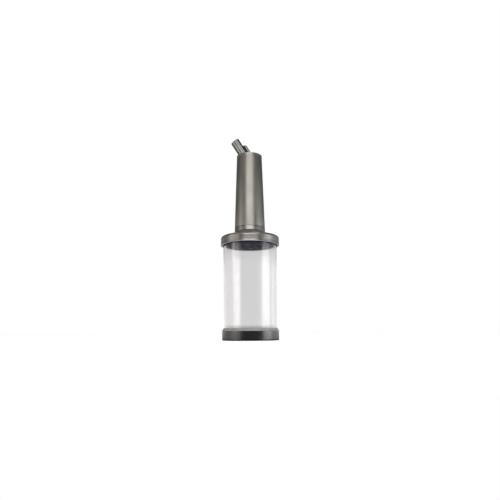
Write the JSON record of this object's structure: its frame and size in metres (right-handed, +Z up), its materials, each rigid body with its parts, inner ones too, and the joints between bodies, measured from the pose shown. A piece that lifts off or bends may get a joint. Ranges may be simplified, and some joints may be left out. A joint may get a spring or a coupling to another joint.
{
  "type": "pour bottle",
  "caption": "Bar pour bottle: clear container in a dark base cup, screw lid with a tall metallic neck, and a pull-out pourer with a leaning metal tube and breather.",
  "frame": {"origin": "centre of the base cup's standing face, on the bottle's axis", "axes": "+Z up along the bottle's axis; the pour tube leans towards -X"},
  "size_m": [0.0924, 0.0924, 0.3171],
  "materials": {
    "base_plastic": "satin black-grey plastic",
    "clear_plastic": "clear polished plastic",
    "metallic_plastic": "satin warm-grey metallic coating",
    "steel_tube": "polished drawn steel tube",
    "gasket_rubber": "dark blue-grey soft gasket",
    "seal_rubber": "black rubber"
  },
  "bodies": {
    "container_body": {"container": "clear_plastic", "base_cup": "base_plastic"},
    "gasket_body": {"lid_gasket": "gasket_rubber"},
    "lid_body": {"lid": "metallic_plastic", "neck_seal": "seal_rubber"},
    "ring_body": {"neck_ring": "metallic_plastic"},
    "neck_body": {"neck": "metallic_plastic"},
    "seal_body": {"plug_seal_upper": "seal_rubber", "plug_seal_middle": "seal_rubber", "plug_seal_lower": "seal_rubber"},
    "spout_body": {"spout_plug": "metallic_plastic", "pour_tube": "steel_tube", "breather_tube": "steel_tube"}
  },
  "joints": [
    {"name": "lid_lift", "type": "slide", "parent": "container_body", "child": "gasket_body", "axis": [0, 0, 1], "range_m": [0, 0.00376]},
    {"name": "lid_turn", "type": "hinge", "parent": "gasket_body", "child": "lid_body", "pos_m": [0, 0, 0.1601], "axis": [0, 0, 1], "range_deg": [0, 300]},
    {"name": "neck_lift", "type": "slide", "parent": "lid_body", "child": "ring_body", "axis": [0, 0, 1], "range_m": [0, 0.00535]},
    {"name": "neck_turn", "type": "hinge", "parent": "ring_body", "child": "neck_body", "pos_m": [0, 0, 0.1767], "axis": [0, 0, 1], "range_deg": [0, 480]},
    {"name": "pourer_pull", "type": "slide", "parent": "neck_body", "child": "seal_body", "axis": [0, 0, 1], "range_m": [0, 0.06]},
    {"name": "pourer_swivel", "type": "hinge", "parent": "seal_body", "child": "spout_body", "pos_m": [0, 0, 0.2855], "axis": [0, 0, 1], "continuous": true}
  ],
  "couplings": [
    {"joint": "lid_lift", "follows": "lid_turn", "m_per_rad": 0.0007162},
    {"joint": "neck_lift", "follows": "neck_turn", "m_per_rad": 0.00063662}
  ]
}
